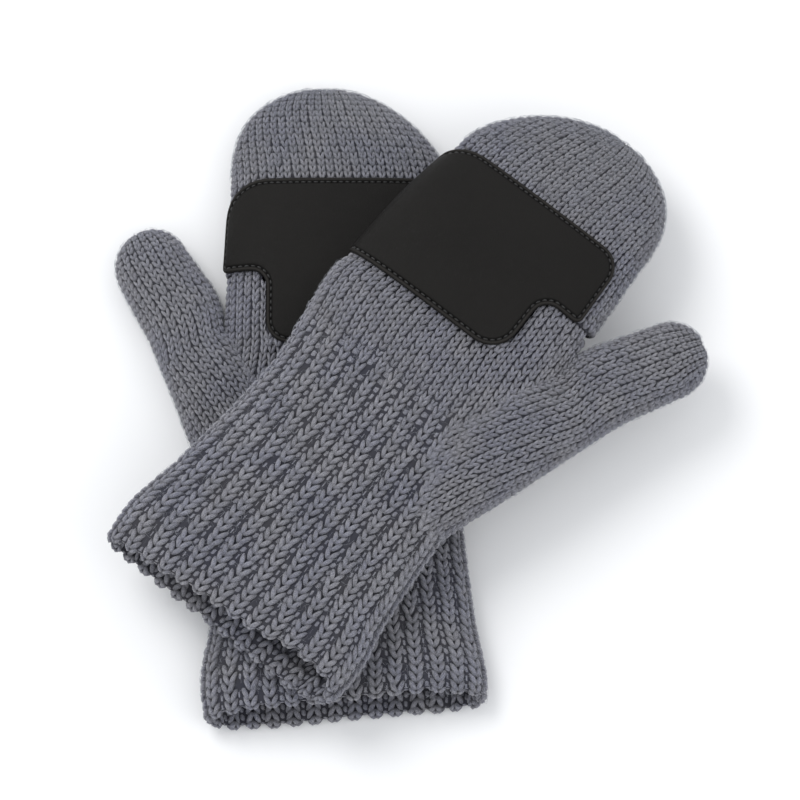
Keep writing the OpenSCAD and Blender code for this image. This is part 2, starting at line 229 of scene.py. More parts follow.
# more: how much further on the flap rounds off. pushed: how much shorter the thumb is, and bent: how far
# its tip leans out. Each patch has its palm edge, far edge and thumb side, the notch's end, the little
# finger's side, and the radii of three corners
sides = {
    "lower": {"turn": 1, "notchX": 40, "tipSag": 0, "cuffSag": 0, "thumbSag": 0, "more": 6, "pushed": 8,
              "bent": 5.5,
              "patch": {"low": 171, "top": 251.5, "right": 60.2, "notch": 206.5, "pinky": -54,
                        "big": 16, "far": 23, "near": 11},
              "cuffLine": ((0, -4.5), (0.22, 1), (0.28, 5), (0.36, 6.5), (0.45, 3.5), (0.55, 0.5), (0.66, -2),
                           (0.72, -5.5), (0.8, -9), (0.9, -7.5), (1, -4.5))},
    "upper": {"turn": -1, "notchX": 32, "tipSag": 12, "cuffSag": 3, "thumbSag": 9, "more": 0, "pushed": 0,
              "bent": 0,
              "patch": {"low": 168.4, "top": 242.5, "right": 52, "notch": 204, "pinky": -53,
                        "big": 26, "far": 12, "near": 14},
              "cuffLine": ((0, -9), (0.2, -9), (0.27, -7.5), (0.36, -6), (0.46, -3), (0.56, -1.5), (0.63, 3),
                           (0.69, 2), (0.76, -6), (0.84, -10.5), (1, -9))},
}
for side, s in sides.items():
    joint = next(j for j in frame["record"]["behaviour"]["joints"] if j["name"] == side + "_flap_hinge")
    s["along"] = np.array([abs(joint["axis"][1]), abs(joint["axis"][0]), 0.0])
    s["across"] = s["turn"] * np.array([-s["along"][1], s["along"][0], 0.0])
    s["origin"] = np.array(joint["pos_m"]) - s["along"] * hand["hinge"] * mm + np.array([0, 0, 0.15 * mm])


def toRow(side, points):
    s = sides[side]
    out = s["origin"] + mm * (points[:, :1] * s["across"] + points[:, 1:2] * s["along"])
    out[:, 2] += mm * points[:, 2]
    if side == "lower":
        out[:, 2] = np.maximum(out[:, 2], 0.00005)      # it rests on its back
    return out


def smoothAt(table, y):
    t = np.array(table, float)
    y = np.atleast_1d(np.asarray(y, float))
    n = len(t)
    i = np.clip(np.searchsorted(t[:, 0], y, "left") - 1, 0, n - 2)
    slope = []
    for k in range(n):
        before, after = t[max(k - 1, 0)], t[min(k + 1, n - 1)]
        slope.append((after - before) / (after[0] - before[0]))
    slope = np.array(slope)
    d = (t[i + 1, 0] - t[i, 0])[:, None]
    u = (y[:, None] - t[i, 0][:, None]) / d
    return ((2 * u ** 3 - 3 * u ** 2 + 1) * t[i] + (u ** 3 - 2 * u ** 2 + u) * d * slope[i]
            + (3 * u ** 2 - 2 * u ** 3) * t[i + 1] + (u ** 3 - u ** 2) * d * slope[i + 1])


def ease(u):
    v = np.clip(u, 0, 1)
    return v * v * (3 - 2 * v)


def handDrop(side, y):
    s = sides[side]
    past = (y - hand["hinge"]) / (hand["length"] - hand["hinge"])
    cuff = np.where(y < 90, s["cuffSag"] * ((90 - y) / 90) ** 2, 0)
    return np.where(y > hand["hinge"], s["tipSag"] * past ** 2, cuff)


# rows of sections: y, middle x, half width, back z, palm z
def sleeveRows():
    mid, under = hand["middle"], hand["flapH"] - 3.5
    table = [(-11, mid - 0.5, 65, 0, 26), (14, mid, 67, 0, 27), (42, mid + 0.5, 62, 0, 28),
             (105, mid + 2, 57, 0, 28), (160, mid - 0.5, 60, 0, 28), (172, mid, 53.8, 0, under)]
    rows = list(smoothAt(table, np.linspace(-11, 170, 70)))
    rows.insert(0, (-20, mid - 0.5, 64.5, 0, 26))
    last = [(172, mid, 53.8, 0, under), (175.8, mid, 53.5, 3.5, under - 0.1),
            (182, mid, 53, 3.5, under - 1.2)]
    return np.array(rows + last)


sleeveTable = sleeveRows()


def flapRows(more):
    mid, h, begin = hand["middle"], hand["flapH"], flap["narrows"] + more
    table = [(167, mid, 57.6, 0, h), (200, mid + 0.5, 56.6, 0, h), (218, mid + 1, 55, 0, h - 1),
             (begin, mid + 2, 52.5, 0, h - 3)]
    rows = list(smoothAt(table, np.linspace(167, begin - 1, 36)))
    top = h - 3
    for a in np.radians(np.append(np.arange(0, 88, 4), 88.5)):
        u = math.sin(a)
        tall = (1 - u ** 2.6) ** 0.5
        rows.append(np.array((begin + 52 * u, mid + 2 + hand["lean"] * float(ease(u)), 52.5 * math.cos(a),
                              top / 2 * (1 - tall) * (1 - 0.35 * u), top / 2 * (1 + tall) - 2 * u)))
    return np.array(rows)


def thumbRows(pushed):
    end = 238 - pushed
    table = [(92, -17, 31, 0, 25), (125, -21.5, 29, 0, 27), (150, -22.5, 25.5, 0, 27),
             (170, -22.6, 21.4, 0, 26), (186, -22.4, 17.9, 0, 25), (194, -25.4, 19.2, 0, 24.5),
             (204, -27.6, 19.7, 0, 24.5), (220, -28.2, 19, 0, 23.5), (end, -28.5, 18.2, 0, 23)]
    rows = list(smoothAt(table, np.linspace(92, end - 0.5, 70)))
    for a in np.radians(np.append(np.arange(0, 85, 6), 89)):
        u, k = math.sin(a), math.cos(a)
        rows.append(np.array((end + 19 * u, -28.5 - 1.5 * u, 18.2 * k, 11.5 * (1 - k) * 0.7,
                              11.5 * (1 + k) - u)))
    return np.array(rows)


def between(grid, i, j, a, b):
    # read a grid of values between its spots
    return ((1 - a) * ((1 - b) * grid[i, j] + b * grid[i, j + 1])
            + a * ((1 - b) * grid[i + 1, j] + b * grid[i + 1, j + 1]))


class Surface:
    # the outer face through a table of rows. A spot on it is p, from 0 at the middle of the back past the
    # little finger's side to 0.5 at the middle of the palm and on to 1, and v, the distance along it
    def __init__(self, rows, drop, turned=0.0, count=256):
        angle = np.radians(-90 - 360 * np.linspace(0, 1, 481))
        boxed = lambda w: np.sign(w) * np.abs(w) ** hand["boxy"]
        grid, self.girth = [], []
        for y, mid, half, low, top in rows:
            base = low - hand["backCut"] * min(1, (top - low) / 12)
            tall = (top - base) / 2
            x = mid + max(half, 0.6) * boxed(np.cos(angle))
            z = np.maximum(min(low, top - tall - 0.3), top - tall + max(tall, 0.5) * boxed(np.sin(angle)))
            z = z - float(drop(y))
            run = np.append(0, np.cumsum(np.hypot(np.diff(x), np.diff(z))))
            want = np.linspace(0, run[-1], count + 1)
            row = [np.interp(want, run, x), np.full(count + 1, y), np.interp(want, run, z)]
            grid.append(np.stack(row, 1))
            self.girth.append(run[-1])
        grid = np.array(grid)
        if turned:
            c, s = math.cos(turned), math.sin(turned)
            x, y = grid[..., 0].copy(), grid[..., 1].copy()
            grid[..., 0], grid[..., 1] = c * x + s * y, c * y - s * x
        self.grid, self.count, self.girth = grid, count, np.array(self.girth)
        top = grid[:, count // 2]
        self.v = np.append(0, np.cumsum(np.linalg.norm(np.diff(top, axis=0), axis=1))) + rows[0][0]
        around = np.roll(grid[:, :-1], -1, 1) - np.roll(grid[:, :-1], 1, 1)
        normal = np.cross(around, np.gradient(grid[:, :-1], axis=0))
        normal /= np.linalg.norm(normal, axis=2, keepdims=True) + 1e-9
        self.normal = np.concatenate([normal, normal[:, :1]], 1)

    def at(self, p, v):
        r = np.interp(v, self.v, np.arange(len(self.v)))
        extra = np.minimum(v - self.v[0], 0)
        c = np.mod(p, 1) * self.count
        i, j = np.minimum(r.astype(int), len(self.v) - 2), np.minimum(c.astype(int), self.count - 1)
        a, b = (r - i)[:, None], (c - j)[:, None]
        spot, out = between(self.grid, i, j, a, b), between(self.normal, i, j, a, b)
        spot[:, 1] += extra
        return spot, out / (np.linalg.norm(out, axis=1, keepdims=True) + 1e-9)

    def girthAt(self, v):
        return np.interp(v, self.v, self.girth)


def fingerRows(left, right, low, high, length):
    mid, half, base, root = (left + right) / 2, (right - left) / 2, 4.5, tubes["root"]
    return np.array([(root + length * u, mid, half, base, base + low + (high - low) * u)
                     for u in np.linspace(-0.08, 1, 8)])


tubes = {"root": 182, "course": 3.1, "column": 4.5}
fingers = {
    "middle": fingerRows(7.2, 31.4, 16, 11, 15),
    "ring": fingerRows(-18.0, 6.2, 16, 11, 15),
    "little": fingerRows(-43.2, -19.0, 16, 11, 10),
}


# ---- knitting ----

def meshOf(bm, name):
    mesh = bpy.data.meshes.new(name)
    bm.to_mesh(mesh)
    bm.free()
    return mesh


def leaf(bm, around, rings, tag):
    # one plump leg of a stitch, its ends on y
    got = bmesh.ops.create_uvsphere(bm, u_segments=around, v_segments=rings, radius=1, calc_uvs=True)["verts"]
    bmesh.ops.rotate(bm, verts=got, matrix=Matrix.Rotation(math.radians(-90), 3, "X"))
    for v in got:
        v[tag] = Vector((v.co.y, v.co.x, 0))
    return got


def barUnit(mapped):
    # one plump straight stitch
    bm = bmesh.new()
    if mapped:
        bm.loops.layers.uv.new("OFBake")
    leaf(bm, 8, 7, bm.verts.layers.float_vector.new("strand"))
    for face in bm.faces:
        face.smooth = True
    return meshOf(bm, "bar")


def stitchUnit(legW, legLong, thick, spread, lean, crown, ridge, purl=None):
    # a V of two legs in a cell one column wide and one course long, with its heights in millimetres
    bm = bmesh.new()
    uv = bm.loops.layers.uv.new("OFBake")
    tag = bm.verts.layers.float_vector.new("strand")
    parts = []
    for way in (-1, 1):
        got = leaf(bm, 6, 5, tag)
        for v in got:
            y = v.co.y
            x = way * (spread + lean * y) + v.co.x * legW
            v.co = Vector((x, 0.5 + y * legLong, v.co.z * thick - crown * y * y - 0.2 * y - ridge * x * x))
        parts.append(got)
    if purl:
        got = leaf(bm, 5, 4, tag)
        for v in got:
            x, y = v.co.y, v.co.x
            v.co = Vector((0.5 + x * purl[0], 0.5 + y * purl[1] + 0.1 * x, v.co.z * purl[2] - purl[3]))
        parts.append(got)
    where = {v: n for n, got in enumerate(parts) for v in got}
    for face in bm.faces:
        n = where[face.verts[0]]
        for loop in face.loops:
            a, b = loop[uv].uv
            loop[uv].uv = ((n + 0.04 + 0.92 * a) / len(parts), 0.03 + 0.94 * b)
        face.smooth = True
    bmesh.ops.recalc_face_normals(bm, faces=bm.faces)
    return meshOf(bm, "stitch")


def repeated(unit, cols, rows):
    holder = bpy.data.objects.new("swatch", unit)
    bpy.context.scene.collection.objects.link(holder)
    for axis, count in ((0, cols), (1, rows)):
        array = holder.modifiers.new("repeat", "ARRAY")
        array.count = count
        array.use_relative_offset = False
        array.use_constant_offset = True
        array.constant_offset_displace = (1 - axis, axis, 0)
    mesh = bpy.data.meshes.new_from_object(holder.evaluated_get(bpy.context.evaluated_depsgraph_get()))
    bpy.data.objects.remove(holder)
    return mesh


def getCo(mesh):
    co = np.empty(len(mesh.vertices) * 3)
    mesh.vertices.foreach_get("co", co)
    return co.reshape(-1, 3)


def setCo(mesh, co):
    mesh.vertices.foreach_set("co", np.ascontiguousarray(co, float).ravel())
    mesh.update()


def edited(mesh, change):
    bm = bmesh.new()
    bm.from_mesh(mesh)
    change(bm)
    bm.to_mesh(mesh)
    bm.free()


def drop(mesh, gone):
    def cut(bm):
        bm.verts.ensure_lookup_table()
        bmesh.ops.delete(bm, geom=[bm.verts[i] for i in np.nonzero(gone)[0]], context="VERTS")
    edited(mesh, cut)


def mapCells(mesh, cell, wide, tall):
    # give each repeated cell its own place in the bake map
    corner = np.empty(len(mesh.loops), int)
    mesh.loops.foreach_get("vertex_index", corner)
    layer = mesh.uv_layers["OFBake"].data
    uv = np.empty(len(mesh.loops) * 2)
    layer.foreach_get("uv", uv)
    cell = cell[corner]
    uv = (uv.reshape(-1, 2) + np.stack([cell % wide, cell // wide], 1)) / (wide, tall)
    layer.foreach_set("uv", uv.ravel())


def addPiece(name, mesh, material, side, body, slot, *stands):
    if side == "lower":
        mesh.flip_normals()         # this hand is the other one's mirror image
    mesh.name = name
    mesh.materials.clear()
    mesh.materials.append(material)
    obj = bpy.data.objects.new(name, mesh)
    bpy.context.scene.collection.objects.link(obj)
    if body:
        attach(obj, body)
    if stands:
        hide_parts(*stands)
    return obj


def knitMesh(unit, cols, rows, spot, keep, uneven=0.05):
    # spot(u, v, h) places cells of the swatch, keep(points) says which stitches stay
    mesh = repeated(unit, cols, rows)
    co = getCo(mesh)
    each = len(unit.vertices)
    count = cols * rows
    stitch = np.arange(len(co)) // each
    shift = rng.normal(0, uneven, (count, 2)).clip(-2 * uneven, 2 * uneven)
    lift = rng.normal(0, 0.1, count).clip(-0.2, 0.1)
    co[:, 0] += shift[stitch, 0]
    co[:, 1] += shift[stitch, 1]
    co[:, 2] += lift[stitch]
    centre = np.stack([np.tile(np.arange(cols), rows), np.repeat(np.arange(rows), cols) + 0.5], 1)
    middles = spot(centre[:, 0], centre[:, 1], np.zeros(count))
    stay = keep(middles, centre)
    setCo(mesh, spot(co[:, 0], co[:, 1], co[:, 2]))
    chance = rng.random(count)
    strand = np.empty(len(co) * 3)
    tag = mesh.attributes["strand"].data
    tag.foreach_get("vector", strand)
    strand = strand.reshape(-1, 3)
    strand[:, 2] = chance[stitch]
    tag.foreach_set("vector", strand.ravel())
    mapCells(mesh, stitch, cols, rows)
    drop(mesh, ~stay[stitch])
    return mesh


def sheetMesh(nu, nv, spot, keep=None, closed=True, thick=0.0):
    # a plain sheet under or inside the stitches: u and v run 0 to 1
    bm = bmesh.new()
    bmesh.ops.create_grid(bm, x_segments=nu, y_segments=nv, size=0.5)
    mesh = meshOf(bm, "sheet")
    co = getCo(mesh) + 0.5
    points = spot(co[:, 0], co[:, 1])
    setCo(mesh, points)
    bm = bmesh.new()
    bm.from_mesh(mesh)
    if keep is not None:
        bm.verts.ensure_lookup_table()
        stay = keep(points)
        gone = [f for f in bm.faces if not all(stay[v.index] for v in f.verts)]
        bmesh.ops.delete(bm, geom=gone, context="FACES")
    if closed:
        bmesh.ops.remove_doubles(bm, verts=bm.verts, dist=0.02)
    if thick:                       # the sheet's other side
        bm.verts.index_update()
        bm.normal_update()
        base, normals = bm.verts[:], [v.normal.copy() for v in bm.verts]
        twin = bmesh.ops.duplicate(bm, geom=bm.verts[:] + bm.edges[:] + bm.faces[:])
        pairs = twin["vert_map"]
        for v, n in zip(base, normals):
            pairs[v].co += n * thick
        back = [g for g in twin["geom"] if isinstance(g, bmesh.types.BMFace)]
        bmesh.ops.reverse_faces(bm, faces=back)
    for face in bm.faces:
        face.smooth = True
    bm.to_mesh(mesh)
    bm.free()
    return mesh


def joined(meshes):
    # each mesh keeps its own band of the bake map
    bm = bmesh.new()
    for k, mesh in enumerate(meshes):
        layer = mesh.uv_layers.get("OFBake")
        if layer:
            uv = np.empty(len(mesh.loops) * 2)
            layer.data.foreach_get("uv", uv)
            uv[1::2] = (k + uv[1::2]) / len(meshes)
            layer.data.foreach_set("uv", uv)
        bm.from_mesh(mesh)
    return meshOf(bm, "joined")


def insideRows(rows, points, grow=0.0, dropAt=None):
    y = points[:, 1]
    mid, half, low, top = (np.interp(y, rows[:, 0], rows[:, k]) for k in range(1, 5))
    z = points[:, 2] + (dropAt(y) if dropAt is not None else 0)
    base = low - hand["backCut"] * np.minimum(1, (top - low) / 12)
    tall = (top - base) / 2
    e = 2 / hand["boxy"]
    r = (np.abs((points[:, 0] - mid) / (half + grow)) ** e + np.abs((z - top + tall) / (tall + grow)) ** e)
    return (r < 1) & (z > low - grow) & (y > rows[0, 0]) & (y < rows[-1, 0] + grow)


def notchRows():
    # the palm carried on past the flap's edge to the end of the index finger's notch
    mid = hand["middle"]
    start = [r for r in sleeveTable if r[0] < 164]
    table = [start[-1], (172, mid, 57.2, 0, 27.6), (186, mid, 56.9, 0, 28.2), (202, mid, 56.4, 0, 28.8),
             (206, mid, 56.2, 0, 28.2), (210, mid, 56, 0, 25.4)]
    return np.array(start[:-1] + list(smoothAt(table, np.linspace(start[-1][0], 210, 30))))


def toThumb(points):
    c, s = math.cos(math.radians(thumb["tilt"])), math.sin(math.radians(thumb["tilt"]))
    x, y = points[:, 0], points[:, 1]
    out = points.copy()
    out[:, 0], out[:, 1] = c * x - s * y, s * x + c * y
    return out


def topOf(rows, x, y, dropAt):
    mid, half, low, top = (np.interp(y, rows[:, 0], rows[:, k]) for k in range(1, 5))
    tall = (top - low + hand["backCut"] * np.minimum(1, (top - low) / 12)) / 2
    e = 2 / hand["boxy"]
    reach = np.clip(1 - np.abs((x - mid) / half) ** e, 0, 1)
    inside = (reach > 0) & (y > rows[0, 0]) & (y < rows[-1, 0])
    return np.where(inside, top - tall + tall * reach ** (1 / e) - dropAt(y), -20)


def webOf(tables):
    # the knit spans the hollow between the palm and the thumb, like a skin drawn over both
    xs, ys = np.arange(-80, 145, 1.0), np.arange(-20, 275, 1.0)
    x, y = np.meshgrid(xs, ys, indexing="ij")
    high = np.full(x.shape, -20.0)
    for table, turned, dropAt, fromX in tables:
        px, py = x, y
        if turned:
            px, py = toThumb(np.stack([x.ravel(), y.ravel()], 1)).T.reshape(2, *x.shape)
        high = np.maximum(high, np.where(x > fromX, topOf(table, px, py, dropAt), -20))
    full = high.copy()
    for _ in range(web["passes"]):
        soft = (np.roll(full, 1, 0) + np.roll(full, -1, 0) + np.roll(full, 1, 1) + np.roll(full, -1, 1)) / 4
        full = np.where(high > -10, np.maximum(high, soft), high)

    def lifted(points):
        i = np.clip(points[:, 0] - xs[0], 0, len(xs) - 1.01)
        j = np.clip(points[:, 1] - ys[0], 0, len(ys) - 1.01)
        a, b, i, j = i % 1, j % 1, i.astype(int), j.astype(int)
        under, over = between(high, i, j, a, b), between(full, i, j, a, b)
        near = np.clip((points[:, 2] - under + 8) / 3, 0, 1)
        out = points.copy()
        out[:, 2] += np.clip(over - under, 0, web["most"]) * near
        return out
    return lifted


ribs = {"count": 30, "course": 4.2, "end": 136, "roll": 2.9, "facing": 18, "scallop": 0.2}
palm = {"columns": 60, "course": 3.4, "end": 209}
flap = {"columns": 58, "course": 3.25, "measured": 200.0, "narrows": 241}
thumb = {"columns": 18, "pitch": 4.4, "course": 3.3, "start": 96, "tilt": 30}
web = {"passes": 130, "most": 9}
lining = {"depth": 3.6, "thick": -1.0}

ribStitch = stitchUnit(0.158, 0.74, 1.2, 0.172, 0.13, 0.85, 3.9, purl=(0.15, 0.52, 0.8, 1.55))
plainStitch = stitchUnit(0.215, 0.76, 1.0, 0.225, 0.17, 0.7, 3.4)


def buildHand(side):
    s = sides[side]
    mitten, flapBody = side + "_mitten", side + "_flap_top"
    thumbTable = thumbRows(s["pushed"])
    thumbTable[:, 1] += s["bent"] * ease((thumbTable[:, 0] - 140) / 110)
    fall = lambda y: handDrop(side, y)
    sleeve = Surface(sleeveTable, fall)
    flapSurface = Surface(flapRows(s["more"]), fall)
    thumbDrop = lambda y: s["thumbSag"] * (np.maximum(y - 170, 0) / 87) ** 2
    thumbSurface = Surface(thumbTable, thumbDrop, math.radians(thumb["tilt"]))
    line = np.array(s["cuffLine"])

    # the sleeve: its ribs end in a roll that turns in and runs back up inside the cuff
    def sleeveSpot(p, d, h):
        edge = np.interp(np.mod(p, 1), line[:, 0], line[:, 1])
        edge = edge - ribs["scallop"] * np.cos(2 * math.pi * (p * ribs["count"] - 0.5))
        roll = ribs["roll"]
        turn = np.clip(-d / roll, 0, math.pi)
        back = np.maximum(-d - math.pi * roll, 0)
        y = d.clip(0) + (edge + roll) * (1 - ease(d / 110)) - (roll + h) * np.sin(turn) + back
        spot, out = sleeve.at(p, y)
        return spot + out * (-roll + (roll + h) * np.cos(turn))[:, None]

    def ribSpot(u, v, h):
        # v counts courses from the inner end of the facing
        d = v * ribs["course"] - ribs["facing"]
        middle = np.round(u)
        u = middle + (u - middle) * (1 - 0.2 * ease((d - 100) / 34))
        return sleeveSpot((u + 0.5) / ribs["count"], d, h - 0.95)

    inRow = lambda mesh: setCo(mesh, toRow(side, getCo(mesh))) or mesh
    notchTable = notchRows()
    notch = Surface(notchTable, fall)
    webbed = webOf((
        (sleeveTable, False, fall, -200), (thumbTable, True, thumbDrop, -200),
        (notchTable, False, fall, s["notchX"]),
    ))
    overWeb = lambda mesh: setCo(mesh, toRow(side, webbed(getCo(mesh)))) or mesh
    hemRows = round((ribs["facing"] + 4.2) / ribs["course"])
    every = lambda points, centre: np.ones(len(points), bool)
    outsideThumb = lambda points, centre=None: ~insideRows(thumbTable, toThumb(points), -2.5, thumbDrop)
    hem = knitMesh(ribStitch, ribs["count"], hemRows, ribSpot, every)
    hemDeep = hemRows * ribs["course"]
    hemSpot = lambda u, v: sleeveSpot(u, -ribs["facing"] + v * hemDeep, np.full(len(u), -2.1))
    hemSheet = sheetMesh(240, 16, hemSpot)
    addPiece(side + "_cuff_hem_knit", inRow(hem), finish["stitch"], side, mitten, "wool_knit",
             side + "_cuff_hem")
    # the dark sheet under the hem's stitches, painted shade between them
    addPiece(side + "_cuff_hem_shade_sheet", inRow(hemSheet), finish["under"], side, mitten, "wool_knit")

    ribRows = int((ribs["end"] + ribs["facing"]) / ribs["course"]) - hemRows
    upRib = lambda u, v, h: ribSpot(u, v + hemRows, h)
    ribMesh = knitMesh(ribStitch, ribs["count"], ribRows, upRib, outsideThumb)
    start = (hemRows + ribRows) * ribs["course"] - ribs["facing"] - 0.6
    plainRows = int((palm["end"] - start) / palm["course"])
    step = (palm["end"] - start) / plainRows

    def plainSpot(u, v, h):
        d = start + v * step
        furrow = np.round(u) % 2 == 0           # these columns rise out of the ribs' furrows
        spot, out = notch.at(u / palm["columns"], d)
        sunk = np.where(furrow, 1.3 * (1 - ease((d - start) / 22)), 0)
        return spot + out * (h - 0.9 - sunk)[:, None]

    cut = s["patch"]
    end = cut["notch"]

    def inNotch(points):
        x, y, z = points.T
        rounded = (end + 1.5 - 26 * (1 - np.clip((z - 7) / 14, 0, 1)) ** 2
                   - 7 * (1 - np.clip((x - s["notchX"]) / 7, 0, 1)) ** 2)
        return (x > s["notchX"] - 1) & (z > 7) & (y < rounded)

    def trimmed(mesh):              # the notch's stitches stop at the leather's edge
        co = getCo(mesh)
        beyond = (co[:, 1] > 171.5) & (co[:, 2] > 7) & (co[:, 0] > s["notchX"] - 6)
        co[:, 0] = np.where(beyond, np.maximum(co[:, 0], s["notchX"] + 0.5), co[:, 0])
        co[:, 1] = np.minimum(co[:, 1], end + 2)
        setCo(mesh, co)
        return mesh

    visible = lambda points, centre: outsideThumb(points) & (inNotch(points) | (points[:, 1] < 172.5))
    palmMesh = trimmed(knitMesh(plainStitch, palm["columns"], plainRows, plainSpot, visible))

    def knuckleSpot(u, v, h):
        spot, out = sleeve.at(u / palm["columns"], 172.6 + v * 3.1)
        return spot + out * (h * 0.8 - 0.8)[:, None]

    def notchIn(u, v):
        at, out = notch.at(u, 166 + v * 41)
        return at - out * 1.9

    knuckles = knitMesh(plainStitch, palm["columns"], 3, knuckleSpot,
                        lambda points, centre: ~inNotch(points) & outsideThumb(points))
    tubeSheet = sheetMesh(180, 90, lambda u, v: sleeveSpot(u, 0.5 + v * 176, np.full(len(u), -2.0)),
                          lambda points: points[:, 1] < 181)
    notchSheet = sheetMesh(180, 24, notchIn, lambda points: inNotch(points - [0, 0, 1]))
    shadeSheet = joined([tubeSheet, trimmed(notchSheet)])
    knit = joined([ribMesh, palmMesh, knuckles])
    addPiece(side + "_sleeve_knit", overWeb(knit), finish["stitch"], side, mitten, "wool_knit",
             side + "_sleeve")
    # the dark sheet under the sleeve's stitches, painted shade between them
    addPiece(side + "_sleeve_shade_sheet", overWeb(shadeSheet), finish["under"], side, mitten, "wool_knit")

    # the thumb and the flap keep their columns parallel, and drop them at the sides as they narrow
    def sheetSpot(surface, columns, pitch, course, begin, taper):
        def spot(u, v, h):
            d = begin + v * course
            quarter = surface.girthAt(d) / 4
            back = u > columns - 0.5
            a = (np.where(back, u - columns, u) - (columns - 1) / 2) * pitch
            a = a * taper(quarter, d)
            p = np.where(back, -a, 0.5 * surface.girthAt(d) + a) / surface.girthAt(d)
            place, out = surface.at(p, d)
            return place + out * (h - 0.95)[:, None]

        def within(centre):
            u, d = centre[:, 0], begin + centre[:, 1] * course
            quarter = surface.girthAt(d) / 4
            back = u > columns - 0.5
            a = (np.where(back, u - columns, u) - (columns - 1) / 2) * pitch
            return np.abs(a) * taper(quarter, d) < quarter + 0.3 * pitch
        return spot, within

    # thumb
    spot, within = sheetSpot(thumbSurface, thumb["columns"], thumb["pitch"], thumb["course"], thumb["start"],
                             lambda quarter, d: 1 - 0.25 * ease((d - 236) / 20))
    count = int((thumbSurface.v[-1] - thumb["start"]) / thumb["course"])
    outsideHand = lambda points: ~insideRows(sleeveTable, points, -1.5, fall)
    mesh = knitMesh(plainStitch, thumb["columns"] * 2, count, spot,
                    lambda points, centre: outsideHand(points) & within(centre))
    addPiece(side + "_thumb_knit", overWeb(mesh), finish["stitch"], side, mitten, "wool_knit",
             side + "_thumb")

    def thumbIn(depth, begin):
        def place(u, v):
            at, out = thumbSurface.at(u, begin + v * (thumbSurface.v[-1] - begin))
            return at - out * depth
        return place
    mesh = sheetMesh(96, 80, thumbIn(2.0, 95), outsideHand, thick=-0.9)
    # the dark sheet under the thumb's stitches, painted shade between them
    addPiece(side + "_thumb_shade_sheet", overWeb(mesh), finish["under"], side, mitten, "wool_knit")
    mesh = sheetMesh(64, 50, thumbIn(lining["depth"], 120), outsideHand, thick=lining["thick"])
    addPiece(side + "_thumb_fleece", inRow(mesh), finish["fleece"], side, mitten, "fleece_lining",
             side + "_thumb_lining")

    # hand lining
    def liningSpot(u, v):
        at, out = sleeve.at(u, 24.5 + v * 147)
        return at - out * lining["depth"]

    clearOfThumb = lambda points: ~insideRows(thumbTable, toThumb(points), -3, thumbDrop)
    mesh = sheetMesh(96, 60, liningSpot, clearOfThumb, thick=lining["thick"])
    addPiece(side + "_hand_fleece", inRow(mesh), finish["fleece"], side, mitten, "fleece_lining",
             side + "_hand_lining")

    # flap
    length = flapSurface.v[-1]
    quarter0 = flapSurface.girthAt(flap["measured"]) / 4
    pitch = quarter0 * 4 / flap["columns"]
    quarterTip = flapSurface.girthAt(flap["narrows"]) / 4

    def taper(quarter, d):
        tip = quarterTip / quarter0 * (quarter / quarterTip) ** 0.3
        return np.where(d < flap["narrows"], quarter / quarter0, tip)

    begin = hand["edge"] - 0.5
    spot, within = sheetSpot(flapSurface, flap["columns"] // 2, pitch, flap["course"], begin, taper)

    def flapStays(points, grow=0.0):
        x, y, z = points.T
        z = z + handDrop(side, y)
        behind = y < np.where(z < 4, 176.6, 171 + (29.7 - 5 - z).clip(0, 21) / 20.7 * 5.4) + grow
        notch = (x > s["notchX"] + 0.2 - grow) & (y < end + grow) & (z > 5)
        opened = (x > 46.5) & (y < end + grow)
        return ~(behind | notch | opened)

    def seen(points, centre):
        x, y, z = points.T
        covered = ((x > -46) & (x < cut["right"] - 6) & (y > 176) & (y < cut["top"] - 8)
                   & (z + handDrop(side, y) > 20))
        return flapStays(points, 0.8) & within(centre) & ~covered

    count = int((length - hand["edge"]) / flap["course"])
    mesh = knitMesh(plainStitch, flap["columns"] // 2 * 2, count, spot, seen)
    addPiece(side + "_flap_knit", inRow(mesh), finish["stitch"], side, flapBody, "wool_knit", side + "_flap")

    def flapIn(depth, begin):
        def place(u, v):
            at, out = flapSurface.at(u, begin + v * (length - begin))
            return at - out * depth
        return place
    mesh = sheetMesh(140, 90, flapIn(1.9, 170), flapStays, thick=-1.0)
    # the dark sheet under the flap's stitches, painted shade between them
    addPiece(side + "_flap_shade_sheet", inRow(mesh), finish["under"], side, flapBody, "wool_knit")
    mesh = sheetMesh(96, 50, flapIn(lining["depth"], 209), thick=lining["thick"])
    addPiece(side + "_flap_fleece", inRow(mesh), finish["fleece"], side, flapBody, "fleece_lining",
             side + "_flap_lining")

    # finger tubes
    root = tubes["root"]
    tables = {"index": fingerRows(s["notchX"] + 1.4, 57.4, 18.6, 17.2, 21), **fingers}
    for name, table in tables.items():
        tube = Surface(table, lambda y: 0.0)
        columns = round(tube.girthAt(root + 8) / tubes["column"])
        count = round((table[-1][0] - root) / tubes["course"])
        tall = (table[-1][0] - root) / count

        def place(u, v, h):
            at, out = tube.at((u + 0.5) / columns, root + v * tall)
            return at + out * (h * 0.8 - 0.8)[:, None]
        mesh = knitMesh(plainStitch, columns, count, place, every, 0.03)

        def tubeIn(u, v):
            at, out = tube.at(u, root - 1 + v * (table[-1][0] - root + 1))
            return at - out * 1.2
        addPiece(f"{side}_{name}_knit", inRow(mesh), finish["stitch"], side, mitten, "wool_knit",
                 f"{side}_{name}_finger")
        mesh = sheetMesh(64, 10, tubeIn, thick=-0.5)
        # the dark sheet inside the finger tube's stitches, painted shade between them
        addPiece(f"{side}_{name}_shade_sheet", inRow(mesh), finish["under"], side, mitten, "wool_knit")

    # the wall between the tubes, where the hand ends
    def wallSpot(u, v):
        return np.stack([-50 + u * 107, root - 1 + 0 * u, 3.5 + v * 22], 1)

